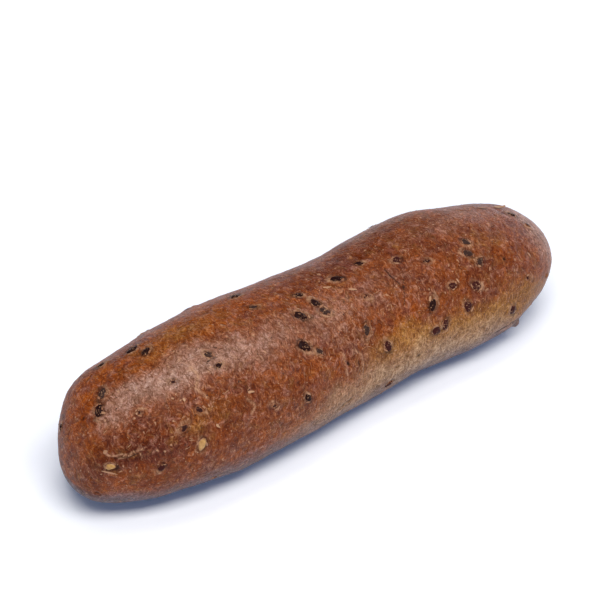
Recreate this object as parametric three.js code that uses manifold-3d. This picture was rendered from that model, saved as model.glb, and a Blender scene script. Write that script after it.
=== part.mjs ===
// A small seeded grain baguette: one whole, uncut loaf with round ends, lying on its flat base.
//
// Units are millimetres and +Z is up. The loaf lies along X, with its front towards -Y. The origin is
// the middle of its footprint, on the surface that it rests on.
//
// A place on the crust is given by two coordinates:
//   along   millimetres from the middle of the loaf, positive towards +X
//   around  degrees round the section from the top ridge, positive towards the front
// and the way that a seed lies there by a third:
//   turn    degrees from the loaf's long direction, positive towards a growing around

import * as THREE from 'three';
import { mergeVertices } from 'three/addons/utils/BufferGeometryUtils.js';
import Module from 'manifold-3d';

// The loaf's main sizes
const LENGTH = 199;
const WIDTH = 55;
const HEIGHT = 50;
const BASE_CUT = 1.6;

// The round ends: how long each one is, how late and how bluntly it closes (power and root, both 2 for
// an ellipse), and how far its tip lies above the middle of the loaf
const LEFT_END = { length: 63, power: 3.2, root: 2.4, rise: -8.2 };
const RIGHT_END = { length: 50, power: 1.7, root: 2.75, rise: -0.6 };

// How the girth changes along the loaf, as shares of the full girth
const TAPER = 0.009;
const BARREL = -0.088;
const WAIST = { depth: 0.076, along: 10, reach: 28 };

// How the loaf bends in plan
const BOW = -2.7;
const SWAY = 2.0;
const RIPPLE = -0.15;
const SIDE_SHIFT = -0.62;

// The section is round above its middle and squarer below, where the dough sagged
const UPPER_POWER = 2;
const LOWER_POWER = 2.3;

// Broad humps and hollows of the crust
const SWELLS = [
  { along: -88, around: -30, reachAlong: 14, reachAround: 40, height: 3.6 },
  { along: -90, around: 110, reachAlong: 14, reachAround: 40, height: -1.3 },
  { along: -70, around: 125, reachAlong: 18, reachAround: 35, height: -1.2 },
  { along: -45, around: -95, reachAlong: 20, reachAround: 40, height: 0.8 },
  { along: -2, around: -45, reachAlong: 18, reachAround: 35, height: -0.2 },
  { along: 22, around: -120, reachAlong: 18, reachAround: 35, height: -0.8 },
  { along: 36, around: 125, reachAlong: 12, reachAround: 30, height: -0.9 },
  { along: 62, around: -45, reachAlong: 14, reachAround: 35, height: -0.9 },
  { along: 70, around: 125, reachAlong: 10, reachAround: 30, height: 0.7 },
  { along: 88, around: -25, reachAlong: 13, reachAround: 45, height: 0.9 },
  { along: 92, around: 110, reachAlong: 14, reachAround: 35, height: -0.8 },
];

// Small unevenness all over: height, wavelength along, waves round the section, and two phases
const WAVES = [
  { height: 0.22, length: 47, round: 2, alongPhase: 1.1, roundPhase: 0.6 },
  { height: 0.16, length: 29, round: 3, alongPhase: -0.8, roundPhase: -1.2 },
  { height: 0.1, length: 17, round: 5, alongPhase: 0.4, roundPhase: 2.0 },
];

// The mesh of the crust
const RINGS = 60;
const SIDES = 40;

// Seeds baked into the crust
const SEED_SIDES = 6;
const SEED_BANDS = 4;
const SEED_TAPER = 0.22;
const SEED_WIDTH_SHARE = 0.58;
const SEED_THICKNESS = 1.3;
const SEED_PROUD = 0.45;

// The seeds on the top and the front, each as [along, around, turn, length]
const FRONT_SEEDS = [
  [-96, -40, 30, 2.6],
  [-88.5, 9, -40, 4.4],
  [-85, 0, -35, 4.0],
  [-79, 33, 0, 2.6],
  [-78.5, 85, -45, 3.0],
  [-78.5, -26, -24, 3.6],
  [-69, 59, -20, 3.8],
  [-67.5, -22, -15, 4.4],
  [-65.5, -10, -25, 4.2],
  [-65.5, 26, 30, 2.8],
  [-62.5, 52, 35, 3.4],
  [-59, 122, -10, 3.0],
  [-51, 21, 60, 3.2],
  [-50, 31, 0, 2.6],
  [-37.5, 74, 40, 3.4],
  [-26.5, -21, -16, 4.4],
  [-26.5, 1, 25, 3.2],
  [-24, 81, 60, 3.4],
  [-19.5, 45, 50, 5.0],
  [-14.5, 24, 40, 5.0],
  [-15, 53, 45, 3.2],
  [-9.5, 7, 30, 3.2],
  [-6.5, 19, 60, 4.2],
  [-5.5, 28, 35, 4.4],
  [6, 54, 120, 4.2],
  [7, 7, 25, 4.4],
  [11.5, 31, 30, 3.2],
  [12.5, 74, 75, 4.2],
  [14, 112, -22, 3.8],
  [18.5, 3, 30, 3.2],
  [30, 17, 10, 3.6],
  [33.5, 60, -60, 4.6],
  [33, 81, 20, 4.2],
  [37, 80, -65, 4.2],
  [38.5, 29, 20, 3.0],
  [43.5, 54, 20, 3.4],
  [47, 74, 75, 4.4],
  [52.5, 61, 35, 4.0],
  [54.5, 36, 35, 4.2],
  [56.5, 27, 50, 3.6],
  [57.5, 45, -30, 3.6],
  [68, 96, 80, 4.4],
  [76.5, 74, 20, 2.8],
  [85, 5, 27, 3.2],
  [88, 22, 36, 3.0],
];

// Pale seeds on the front, in the same form
const PALE_FRONT_SEEDS = [
  [-92, 65, 18, 3.4],
  [-65, 77, 115, 4.4],
];

// Seeds on the back, spread evenly: each is the best of a few random places
const BACK_SEEDS = 34;
const BACK_TRIES = 8;
const BACK_ALONG = [-94, 94];
const BACK_AROUND = [-146, -46];
const BACK_LENGTH = [3.2, 4.8];
const RANDOM_SEED = 20749;

// Crags and flakes that stand out of the crust
const CRAGS = [
  // a curl of pale crust on the top of the right end
  { along: 81, around: -5, turn: 26, length: 6, width: 2.6, thickness: 1.6, proud: 0.8 },
  // a nub of dough at the foot of the right end
  { along: 73.5, around: 126, turn: -38, length: 4.5, width: 4, thickness: 4, proud: 1.7 },
  // a nib on the tip of the right end
  { along: 90, around: 92, turn: 60, length: 2.6, width: 2.2, thickness: 2, proud: 0.8 },
  // a low blister on the front
  { along: -3, around: 74, turn: 90, length: 8.5, width: 6, thickness: 2.4, proud: 0.4 },
];

const CRUST_COLOUR = 0x8c5a40;
const CRUST_ROUGHNESS = 0.5;

const wasm = await Module();
wasm.setup();

// ---- The form of the loaf ----

function endShrink(distanceIntoEnd, end) {
  const share = Math.min(Math.max(distanceIntoEnd / end.length, 0), 1);
  return (1 - share ** end.power) ** (1 / end.root);
}

function capShrink(along) {
  const left = endShrink(-along - (LENGTH / 2 - LEFT_END.length), LEFT_END);
  const right = endShrink(along - (LENGTH / 2 - RIGHT_END.length), RIGHT_END);
  return left * right;
}

function bodyGirth(along) {
  const reach = along / (LENGTH / 2);
  const waist = WAIST.depth * Math.exp(-(((along - WAIST.along) / WAIST.reach) ** 2));
  return 1 + TAPER * reach + BARREL * (reach ** 2 - 1 / 3) - waist;
}

function middleLine(along) {
  const reach = along / (LENGTH / 2);
  const bow = BOW * (reach ** 2 - 0.4);
  const sway = SWAY * Math.sin(Math.PI * reach);
  const ripple = RIPPLE * Math.cos(2 * Math.PI * reach);
  return SIDE_SHIFT + bow + sway + ripple;
}

function angleBetween(one, other) {
  return ((((one - other + 180) % 360) + 360) % 360) - 180;
}

function relief(along, around) {
  let height = 0;
  for (const swell of SWELLS) {
    const alongShare = (along - swell.along) / swell.reachAlong;
    const aroundShare = angleBetween(around, swell.around) / swell.reachAround;
    height += swell.height * Math.exp(-(alongShare ** 2) - aroundShare ** 2);
  }
  const angle = THREE.MathUtils.degToRad(around);
  for (const wave of WAVES) {
    const alongWave = Math.sin((2 * Math.PI * along) / wave.length + wave.alongPhase);
    height += wave.height * alongWave * Math.cos(wave.round * angle + wave.roundPhase);
  }
  return height;
}

function signedPower(value, power) {
  return Math.sign(value) * Math.abs(value) ** power;
}

function crustPoint(along, around) {
  const angle = THREE.MathUtils.degToRad(around);
  const power = Math.cos(angle) < 0 ? LOWER_POWER : UPPER_POWER;
  const across = signedPower(Math.sin(angle), 2 / power);
  const upward = signedPower(Math.cos(angle), 2 / power);
  const cap = capShrink(along);
  const girth = bodyGirth(along) * cap;
  const bump = relief(along, around) * Math.min(1.5 * girth, 1);
  const end = along < 0 ? LEFT_END : RIGHT_END;
  const middleHeight = ((HEIGHT - BASE_CUT) / 2) * bodyGirth(along) + end.rise * (1 - cap);
  const y = middleLine(along) - ((WIDTH / 2) * girth + bump) * across;
  const z = middleHeight + (((HEIGHT + BASE_CUT) / 2) * girth + bump) * upward;
  return new THREE.Vector3(along, y, Math.max(z, 0));
}

// Three directions at a place on the crust: along it, across it and out of it
function crustDirections(along, around) {
  const alongStep = 0.2;
  const aroundStep = 0.5;
  const here = crustPoint(along, around);
  const forward = crustPoint(along + alongStep, around).sub(here).normalize();
  const sideways = crustPoint(along, around + aroundStep).sub(here).normalize();
  const outward = sideways.cross(forward).normalize();
  const across = forward.clone().cross(outward);
  return { here, forward, across, outward };
}

function crustGeometry() {
  const corners = [];
  const faces = [];
  const leftTip = 0;
  const rightTip = 1 + (RINGS - 1) * SIDES;
  const corner = (ring, side) => 1 + (ring - 1) * SIDES + (side % SIDES);
  corners.push(...crustPoint(-LENGTH / 2, 0));
  for (let ring = 1; ring < RINGS; ring += 1) {
    const along = (-LENGTH / 2) * Math.cos((Math.PI * ring) / RINGS);
    for (let side = 0; side < SIDES; side += 1) {
      corners.push(...crustPoint(along, (360 * side) / SIDES));
    }
  }
  corners.push(...crustPoint(LENGTH / 2, 0));
  for (let side = 0; side < SIDES; side += 1) {
    faces.push(leftTip, corner(1, side + 1), corner(1, side));
    faces.push(rightTip, corner(RINGS - 1, side), corner(RINGS - 1, side + 1));
    for (let ring = 1; ring < RINGS - 1; ring += 1) {
      faces.push(corner(ring, side), corner(ring, side + 1), corner(ring + 1, side));
      faces.push(corner(ring, side + 1), corner(ring + 1, side + 1), corner(ring + 1, side));
    }
  }
  const geometry = new THREE.BufferGeometry();
  geometry.setAttribute('position', new THREE.Float32BufferAttribute(corners, 3));
  geometry.setIndex(faces);
  return geometry;
}

// ---- What is baked into the crust ----

// A lens that is pointed at one end, half sunk in the crust
function lensGeometry({ along, around, turn, length, width, thickness, proud, taper }) {
  const lens = new THREE.SphereGeometry(1, SEED_SIDES, SEED_BANDS);
  lens.rotateZ(-Math.PI / 2);
  const positions = lens.attributes.position;
  for (let index = 0; index < positions.count; index += 1) {
    const narrowing = 1 - taper * positions.getX(index);
    positions.setY(index, positions.getY(index) * narrowing);
  }
  lens.scale(length / 2, width / 2, thickness / 2);
  const { here, forward, across, outward } = crustDirections(along, around);
  const angle = THREE.MathUtils.degToRad(turn);
  const long = forward.clone().multiplyScalar(Math.cos(angle));
  long.addScaledVector(across, Math.sin(angle));
  const wide = outward.clone().cross(long);
  const centre = here.clone().addScaledVector(outward, proud - thickness / 2);
  const place = new THREE.Matrix4().makeBasis(long, wide, outward).setPosition(centre);
  return lens.applyMatrix4(place);
}

function seedLens([along, around, turn, length]) {
  return lensGeometry({
    along,
    around,
    turn,
    length,
    width: length * SEED_WIDTH_SHARE,
    thickness: SEED_THICKNESS,
    proud: SEED_PROUD,
    taper: SEED_TAPER,
  });
}

function cragLens(crag) {
  return lensGeometry({ ...crag, taper: 0 });
}

// Repeatable random numbers from 0 to 1
function makeRandom(seed) {
  let state = seed;
  return () => {
    state = (state * 1664525 + 1013904223) % 4294967296;
    return state / 4294967296;
  };
}

function between([low, high], share) {
  return low + (high - low) * share;
}

function backSeeds() {
  const random = makeRandom(RANDOM_SEED);
  const placed = FRONT_SEEDS.map(([along, around]) => crustPoint(along, around));
  const seeds = [];
  for (let count = 0; count < BACK_SEEDS; count += 1) {
    let best = null;
    for (let attempt = 0; attempt < BACK_TRIES; attempt += 1) {
      const along = between(BACK_ALONG, random());
      const around = between(BACK_AROUND, random());
      const point = crustPoint(along, around);
      const room = Math.min(...placed.map((other) => other.distanceTo(point)));
      if (best === null || room > best.room) {
        best = { along, around, point, room };
      }
    }
    placed.push(best.point);
    seeds.push([best.along, best.around, 180 * random(), between(BACK_LENGTH, random())]);
  }
  return seeds;
}

// ---- Joining ----

function solidFrom(geometry) {
  geometry.deleteAttribute('normal');
  geometry.deleteAttribute('uv');
  const merged = mergeVertices(geometry);
  const vertProperties = merged.attributes.position.array;
  const triVerts = new Uint32Array(merged.index.array);
  return new wasm.Manifold(new wasm.Mesh({ numProp: 3, vertProperties, triVerts }));
}

function geometryFrom(solid) {
  const { vertProperties, triVerts } = solid.getMesh();
  const geometry = new THREE.BufferGeometry();
  geometry.setAttribute('position', new THREE.BufferAttribute(vertProperties, 3));
  geometry.setIndex(new THREE.BufferAttribute(triVerts, 1));
  geometry.computeVertexNormals();
  return geometry;
}

function loafGeometry() {
  let loaf = solidFrom(crustGeometry());
  const seeds = [...FRONT_SEEDS, ...PALE_FRONT_SEEDS, ...backSeeds()];
  const lenses = [...seeds.map(seedLens), ...CRAGS.map(cragLens)];
  for (const lens of lenses) {
    loaf = loaf.add(solidFrom(lens));
  }
  return geometryFrom(loaf);
}

const crust = new THREE.MeshStandardMaterial({
  color: CRUST_COLOUR,
  roughness: CRUST_ROUGHNESS,
  metalness: 0,
});

const loaf = new THREE.Mesh(loafGeometry(), crust);
loaf.name = 'loaf';

const baguette = new THREE.Group();
baguette.add(loaf);

export default baguette;
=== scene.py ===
"""A small seeded grain baguette: its baked crust, the seeds in it, and the flakes and bran on it.

The loaf lies along X with its front towards -Y. Its form is worked out in millimetres, from the same
sizes as the solid that it replaces, and becomes metres where a mesh is made. A place on the crust is
  along   millimetres from the middle of the loaf, positive towards +X
  around  degrees round the section from the top ridge, positive towards the front
and the way that something lies there is
  turn    degrees from the loaf's long direction, positive towards a growing around
"""

import math
from collections import namedtuple

import bpy
import numpy as np
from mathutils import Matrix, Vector, noise


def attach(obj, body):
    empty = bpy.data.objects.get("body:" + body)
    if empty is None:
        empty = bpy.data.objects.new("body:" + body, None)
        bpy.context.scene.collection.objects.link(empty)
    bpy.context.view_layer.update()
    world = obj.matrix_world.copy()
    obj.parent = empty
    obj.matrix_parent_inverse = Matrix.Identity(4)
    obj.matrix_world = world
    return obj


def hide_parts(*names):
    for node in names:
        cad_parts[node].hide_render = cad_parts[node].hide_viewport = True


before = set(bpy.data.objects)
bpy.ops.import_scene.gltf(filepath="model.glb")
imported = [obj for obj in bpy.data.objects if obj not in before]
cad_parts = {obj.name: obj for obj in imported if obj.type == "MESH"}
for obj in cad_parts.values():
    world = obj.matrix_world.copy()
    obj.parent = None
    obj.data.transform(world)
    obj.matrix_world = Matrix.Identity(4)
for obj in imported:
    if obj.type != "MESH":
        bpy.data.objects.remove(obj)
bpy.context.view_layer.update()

METRES_PER_MM = 0.001

# ---- The loaf's form, as in the solid ----

LENGTH = 199
WIDTH = 55
HEIGHT = 50
BASE_CUT = 1.6

End = namedtuple("End", "length power root rise")
LEFT_END = End(length=63, power=3.2, root=2.4, rise=-8.2)
RIGHT_END = End(length=50, power=1.7, root=2.75, rise=-0.6)

TAPER = 0.009
BARREL = -0.088
BARREL_LEVEL = 1 / 3
WAIST_DEPTH = 0.076
WAIST_ALONG = 10
WAIST_REACH = 28

BOW = -2.7
BOW_LEVEL = 0.4
SWAY = 2.0
RIPPLE = -0.15
SIDE_SHIFT = -0.62

UPPER_POWER = 2
LOWER_POWER = 2.3

# Broad humps and hollows: along, around, reach along, reach around, height
SWELLS = [
    (-88, -30, 14, 40, 3.6),
    (-90, 110, 14, 40, -1.3),
    (-70, 125, 18, 35, -1.2),
    (-45, -95, 20, 40, 0.8),
    (-2, -45, 18, 35, -0.2),
    (22, -120, 18, 35, -0.8),
    (36, 125, 12, 30, -0.9),
    (62, -45, 14, 35, -0.9),
    (70, 125, 10, 30, 0.7),
    (88, -25, 13, 45, 0.9),
    (92, 110, 14, 35, -0.8),
]

# Small unevenness all over: height, wavelength along, waves round the section, two phases
WAVES = [
    (0.22, 47, 2, 1.1, 0.6),
    (0.16, 29, 3, -0.8, -1.2),
    (0.10, 17, 5, 0.4, 2.0),
]

# Towards the tips the unevenness shrinks to this many times the share of the girth
RELIEF_FADE = 1.5

# ---- What is baked into the crust ----

SEED_WIDTH_SHARE = 0.61
SEED_THICKNESS = 1.3
SEED_PROUD = 0.45
SEED_TAPER = 0.22
SEED_EDGE_POWER = 1.25
SEED_UNEVEN = 0.22
SEED_LUMP = 0.8
SEED_SIDES = 14
SEED_BANDS = 10
# The reddish seeds have swollen: how much wider they are
SWOLLEN_WIDTH = 0.35

# How a seed looks: how much of it a film of dried dough hides, how red it is, how pale it is
Look = namedtuple("Look", "film red pale")
BARE = Look(film=0.2, red=0.2, pale=0.0)
RED = Look(film=0.3, red=0.9, pale=0.0)
GREY = Look(film=0.4, red=0.25, pale=0.4)
VEILED = Look(film=0.75, red=0.5, pale=0.1)

# Seeds on the top and the front: along, around, turn, length, look
FRONT_SEEDS = [
    (-96, -40, 30, 2.6, BARE),
    (-88.5, 9, -40, 4.4, BARE),
    (-85, 0, -35, 4.0, GREY),
    (-79, 33, 0, 2.6, VEILED),
    (-78.5, 85, -45, 3.0, RED),
    (-78.5, -26, -24, 3.6, BARE),
    (-69, 59, -20, 3.8, VEILED),
    (-67.5, -22, -15, 4.4, BARE),
    (-65.5, -10, -25, 4.2, BARE),
    (-65.5, 26, 30, 2.8, VEILED),
    (-62.5, 52, 35, 3.4, VEILED),
    (-59, 122, -10, 3.0, VEILED),
    (-51, 21, 60, 3.2, GREY),
    (-50, 31, 0, 2.6, BARE),
    (-37.5, 74, 40, 3.4, VEILED),
    (-26.5, -21, -16, 4.4, BARE),
    (-26.5, 1, 25, 3.2, GREY),
    (-24, 81, 60, 3.4, BARE),
    (-19.5, 45, 50, 5.0, BARE),
    (-14.5, 24, 40, 5.0, BARE),
    (-15, 53, 45, 3.2, GREY),
    (-9.5, 7, 30, 3.2, BARE),
    (-6.5, 19, 60, 4.2, BARE),
    (-5.5, 28, 35, 4.4, GREY),
    (6, 54, 120, 4.2, GREY),
    (7, 7, 25, 4.4, BARE),
    (11.5, 31, 30, 3.2, VEILED),
    (12.5, 74, 75, 4.2, RED),
    (14, 112, -22, 3.8, RED),
    (18.5, 3, 30, 3.2, BARE),
    (30, 17, 10, 3.6, RED),
    (33.5, 60, -60, 4.6, BARE),
    (33, 81, 20, 4.2, RED),
    (37, 80, -65, 4.2, RED),
    (38.5, 29, 20, 3.0, VEILED),
    (43.5, 54, 20, 3.4, RED),
    (47, 74, 75, 4.4, RED),
    (52.5, 61, 35, 4.0, RED),
    (54.5, 36, 35, 4.2, GREY),
    (56.5, 27, 50, 3.6, GREY),
    (57.5, 45, -30, 3.6, GREY),
    (68, 96, 80, 4.4, RED),
    (76.5, 74, 20, 2.8, VEILED),
    (85, 5, 27, 3.2, BARE),
    (88, 22, 36, 3.0, VEILED),
]

# Pale seeds on the front
GOLDEN = Look(film=0.1, red=0.2, pale=1.0)
PALE_FRONT_SEEDS = [
    (-92, 65, 18, 3.4, GOLDEN),
    (-65, 77, 115, 4.4, GOLDEN),
]

# Seeds on the back: each is the best of a few random places
BACK_SEEDS = 34
BACK_TRIES = 8
BACK_ALONG = (-94, 94)
BACK_AROUND = (-146, -46)
BACK_LENGTH = (3.2, 4.8)
BACK_LOOKS = [BARE, RED, BARE, VEILED, GREY]
PALE_BACK_EVERY = 15

# Random numbers: where they start, and how each is made from the one before it
RANDOM_SEED = 20749
SHRED_SEED = 1750496920
RANDOM_FACTOR = 1664525
RANDOM_STEP = 1013904223
RANDOM_RANGE = 2**32

# Crags that are part of the crust's own surface: along, around, turn, length, width, proud
CRAGS = [
    (74, 125, -38, 3.4, 2.6, 1.2),
    (90, 92, 60, 2.4, 1.8, 0.6),
    (-3, 74, 90, 8.5, 6.0, 0.4),
]
# The distance from an oval on the skin grows by one over this many millimetres out of its plane
OVAL_DEPTH = 4.0
CRAG_DEPTH = 6.0

# ---- The fine surface of the crust ----

RINGS = 388
SIDES = 254
BASE_HALF_ANGLE = 42
BASE_SIDES = 30
MEASURING_STEPS = 4001
# No face is so wide that its corners are this share of the way round apart, except across the seam
SEAM_JUMP = 0.5

# The flat base fades out over a height. The skin is smoother on it and lies just off the ground
BASE_FADE = 1.5
BASE_SMOOTH = 0.8
LEAST_HEIGHT = 0.02

# Unevenness of the skin: size of its lumps and their height
GRAIN = [(9.0, 0.14), (3.6, 0.1), (1.6, 0.08)]

# The hollow round a seed and the lip on its rim, with reaches as shares of the seed's radii
SOCKET_DEPTH = 0.3
SOCKET_REACH = 1.1
LIP_HEIGHT = 0.28
LIP_AT = 1.35
LIP_REACH = 0.27
LIP_LEAST = 0.15
LIP_GAIN = 1.1
LIP_TURN = 2.4
RIM_UNEVEN = 0.5
RIM_LUMP = 1.3
RIM_LUMPS_WITHIN = 3

# The dark line round a seed, painted shade with some darker bake: how dark on its two sides, and how much
# less where the seed is veiled
SHADE_AT = 1.12
SHADE_REACH = 0.42
SHADE_MOST = 1.25
SHADE_FALL = 0.8
SHADE_VEIL = 0.7

# Flakes and fibres of bran that lie on the crust
FLECKS = 2000
FLECK_CORNERS = 6
FLECK_LENGTH = (0.3, 0.9)
FLECK_WIDTH_SHARE = (0.25, 0.6)
FLECK_THICKNESS = 0.14
FLECK_PROUD = 0.03
FLECK_RAGGED = (0.7, 1.15)
FLECK_TINT = (0.3, 1.0)
DARK_FLECK_SHARE = 0.3
FLECK_BASE_LIMIT = 0.05
FIBRES = 160
FIBRE_LENGTH = (1.4, 3.2)
FIBRE_WIDTH = 0.24
FIBRE_BEND = (-0.25, 0.25)
FIBRE_THICKNESS_SHARE = 0.6

# Thin flakes that lift off the crust: along, around, turn, length, width, lift of the end, paleness
FLAKES = [
    (83.5, -8, 26, 4.2, 2.2, 1.4, 0.85),
    (76, -8, 40, 3.2, 1.2, 0.7, 0.5),
    (-92.8, 71.5, 31, 5.0, 0.5, 0.1, 0.9),
    (-92, 46, 0, 1.6, 1.2, 0.2, 0.7),
    (-44, 57, 20, 2.2, 0.8, 0.3, 1.0),
    (-58.5, 68.5, 60, 1.8, 0.8, 0.2, 1.0),
    (-65.6, 41, 100, 1.2, 0.8, 0.2, 1.0),
    (1.6, 10.5, 30, 3.0, 0.7, 0.3, 0.95),
    (8.8, 21.5, 35, 2.8, 0.8, 0.4, 0.9),
    (33.2, 55, -60, 1.8, 0.9, 0.3, 1.0),
    (43.5, 55, 20, 2.0, 0.7, 0.4, 1.0),
    (46, 52, 80, 1.6, 0.6, 0.3, 0.95),
    (-88, 13, 50, 2.6, 0.8, 0.3, 0.75),
    (-6, 32, 35, 3.0, 0.6, 0.3, 0.8),
    (-6.8, 71, 86, 3.6, 0.5, 0.2, 0.7),
    (0.9, 75, 94, 4.2, 0.5, 0.2, 0.7),
    (40, -52, 20, 3.0, 1.0, 0.5, 0.8),
    (-30, -64, 70, 2.4, 0.8, 0.4, 0.9),
]
FLAKE_THICKNESS = 0.16
FLAKE_RAGGED = 0.35
FLAKE_LUMP = 0.7

# Shreds of torn crust round each seed
SHREDS_A_SEED = 2
SHRED_LENGTH = (0.9, 2.0)
SHRED_WIDTH = (0.35, 0.8)
SHRED_LIFT = (0.0, 0.35)
SHRED_TINT = (0.2, 0.8)
SHRED_REACH = (0.5, 0.62)
SHRED_LEAN = 0.9

# Small hollows where gas broke through or a seed fell out: along, around, turn, length, width, depth
PITS = [
    (-47.5, 18, 60, 1.6, 0.8, 0.6),
    (-52.5, 25, -20, 3.2, 0.7, 0.6),
    (-49.5, 30, 10, 1.4, 1.2, 0.7),
    (-65, 24, 40, 1.6, 1.0, 0.5),
    (-78.8, 33, 0, 1.2, 1.0, 0.35),
    (-78.5, 87, 0, 1.6, 1.4, 0.6),
    (-24, 80, 70, 2.4, 1.8, 0.8),
    (-5.2, 71, 80, 2.6, 1.3, 0.7),
    (-0.8, 75.5, 88, 3.2, 0.8, 0.7),
    (8, 106, 0, 1.6, 1.4, 0.5),
    (25.5, 95, 0, 2.0, 1.6, 0.5),
    (-35.5, 92, 0, 1.6, 1.3, 0.5),
    (-49.5, 99, 0, 2.4, 1.8, 0.3),
    (-26.5, 66, 0, 2.4, 1.8, 0.35),
    (-97, 73, 22, 1.6, 1.4, 0.4),
    (-96, 107, 29, 1.8, 1.4, 0.4),
    (-92.5, 0, 7, 1.6, 1.2, 0.5),
    (68, 50, 0, 1.5, 1.4, 0.7),
    (44, 55, 20, 1.6, 1.0, 0.5),
    (26, -60, 30, 2.2, 1.2, 0.6),
    (-34, -82, -20, 2.0, 1.4, 0.6),
    (-72, -70, 10, 1.8, 1.2, 0.5),
    (68, -88, 50, 2.4, 1.0, 0.6),
]
PIT_REACH = 0.9
PIT_RIM_HEIGHT = 0.12
PIT_RIM_AT = 1.6
PIT_RIM_REACH = 0.5
DARK_PIT_DEPTH = 0.6

# Wrinkles and cracks: height, width, places along each
WRINKLES = [
    (0.22, 0.26, [(-92, 50), (-90.3, 55), (-88.5, 56.5), (-87, 60), (-84.8, 59.5), (-82.5, 61)]),
    (0.18, 0.24, [(-89.5, 59), (-88, 61.5), (-86, 62)]),
    (-0.25, 0.26, [(-91, 57), (-88.5, 60), (-86.5, 63), (-84, 62.5)]),
    (-0.45, 0.38, [(24, 18), (24.3, 26), (25.4, 34), (26, 40), (24.6, 45), (23.3, 51)]),
    (-0.3, 0.32, [(26, 40), (27.4, 34), (28.5, 31)]),
    (-0.4, 0.4, [(-11, 108), (-8, 105), (-4, 102)]),
    (0.3, 0.36, [(-6.2, 63), (-6.9, 70), (-6.8, 79)]),
    (0.3, 0.36, [(-1.5, 63), (0.8, 69), (0.8, 77), (0, 85)]),
    (0.2, 0.5, [(-58.5, 47), (-60.5, 38), (-57.5, 30), (-58.5, 22)]),
    (0.2, 0.4, [(-46, 60), (-44, 67), (-46, 72)]),
    (0.18, 0.5, [(67, 111), (73, 108), (81, 111)]),
    (-0.3, 0.6, [(60.5, 114), (69, 112), (78.5, 119)]),
    (-0.35, 0.45, [(40, -70), (44, -64), (45, -57)]),
    (-0.3, 0.45, [(-20, -104), (-15, -98), (-13, -90)]),
    (0.22, 0.5, [(-60, -84), (-55, -90), (-49, -92)]),
]
# How dark the painted shade in a crease is
CREASE_DARKNESS = 0.8

# ---- Where the crust is paler or darker, from the bake and from painted sheen and shadow: along, around, reach along, reach around, strength ----

TAN_PATCHES = [
    (12, 107, 38, 21, 1.0),
    (48, 110, 24, 16, 0.7),
    (20, -112, 36, 18, 0.8),
    (-50, -120, 26, 14, 0.5),
    (73.5, 126, 3, 6, 1.0),
]
GOLD_PATCHES = [
    (42, 88, 26, 17, 0.9),
    (72, 98, 16, 18, 0.8),
    (15, 76, 14, 12, 0.6),
    (66, 30, 10, 10, 0.35),
    (-56, -8, 20, 16, 0.4),
    (-62, 62, 12, 10, 0.35),
    (-15, -90, 26, 16, 0.6),
    (70, -88, 20, 18, 0.6),
]
# Painted sheen: a pale pinkish colour where the lamps' sheen shows on the top, and a painted lilac
# reflection round the right end
PAINTED_SHEEN_PATCHES = [
    (-70, 18, 24, 14, 0.75),
    (-44, 27, 20, 13, 0.4),
    (-6, 32, 32, 20, 0.36),
    (58, 3, 26, 14, 0.3),
    (99, 30, 9, 90, 0.8),
    (-30, -74, 26, 20, 0.4),
    (48, -40, 26, 18, 0.35),
]
ORANGE_PATCHES = [
    (-95, -5, 8, 60, 0.8),
    (-62.5, -19, 40, 18, 0.7),
    (-17.5, -8, 30, 14, 0.9),
    (-17, 67, 14, 9, 0.6),
    (21.5, 63, 22, 13, 0.8),
    (-75, 72, 22, 20, 0.8),
    (82, 50, 12, 40, 0.8),
    (20, -12, 20, 12, 0.7),
    (-20, -60, 40, 18, 0.6),
    (55, -70, 24, 18, 0.6),
    (-10, -36, 80, 16, 0.6),
]
# Darker patches: partly a darker bake, partly painted shadow on the top and the back ridge and painted
# shade low at the left end
DARK_BAKE_AND_SHADOW_PATCHES = [
    (-83, 60, 22, 22, 1.0),
    (-46, 68, 22, 16, 0.35),
    (10, -8, 34, 14, 0.7),
    (52, 24, 30, 20, 0.3),
    (58, 58, 20, 18, 0.3),
    (0, 62, 22, 16, 0.25),
    (-78, -80, 20, 26, 0.5),
    (5, -78, 26, 20, 0.35),
    (86, 30, 12, 40, 0.3),
    (-2, 62, 3, 6, 0.6),
    (90, -60, 14, 40, 0.3),
    (20, -34, 50, 14, 0.4),
]
STRETCH_PATCHES = [
    (1, 48, 9, 30, 0.6),
    (-53, 30, 16, 14, 0.4),
    (27, 43, 8, 16, 0.4),
    (-6, -70, 10, 26, 0.7),
]
# The lower part of the sides is greyer and darker, a painted reflection of the floor with painted shade,
# from one angle round the section to another
GREY_FROM = 96
GREY_TO = 132

# The borders of the patches wander: how far, and over what size
WANDER_ALONG = (7, 16)
WANDER_AROUND = (9, 11)
# Shifts to other parts of the noise, so that no two things are alike
WANDER_SHIFT = 40
SEED_SHIFT = 7
FLAKE_SHIFT = 11

# ---- The camera ----

VIEW_AZIMUTH = -36.5
VIEW_ELEVATION = 38
VIEW_TARGET = (0, SIDE_SHIFT, 20)
VIEW_DISTANCE = 650
SENSOR_WIDTH = 36
IMAGE_SIDE = 600
FOCAL_PIXELS = 1896
TARGET_PIXEL = (316.6, 348.8)


# ==== The form of the loaf ====


def signed_power(value, power):
    return np.sign(value) * np.abs(value) ** power


def end_shrink(distance_into_end, end):
    share = np.clip(distance_into_end / end.length, 0, 1)
    return (1 - share**end.power) ** (1 / end.root)


def cap_shrink(along):
    left = end_shrink(-along - (LENGTH / 2 - LEFT_END.length), LEFT_END)
    right = end_shrink(along - (LENGTH / 2 - RIGHT_END.length), RIGHT_END)
    return left * right


def body_girth(along):
    reach = along / (LENGTH / 2)
    waist = WAIST_DEPTH * np.exp(-(((along - WAIST_ALONG) / WAIST_REACH) ** 2))
    return 1 + TAPER * reach + BARREL * (reach**2 - BARREL_LEVEL) - waist


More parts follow.
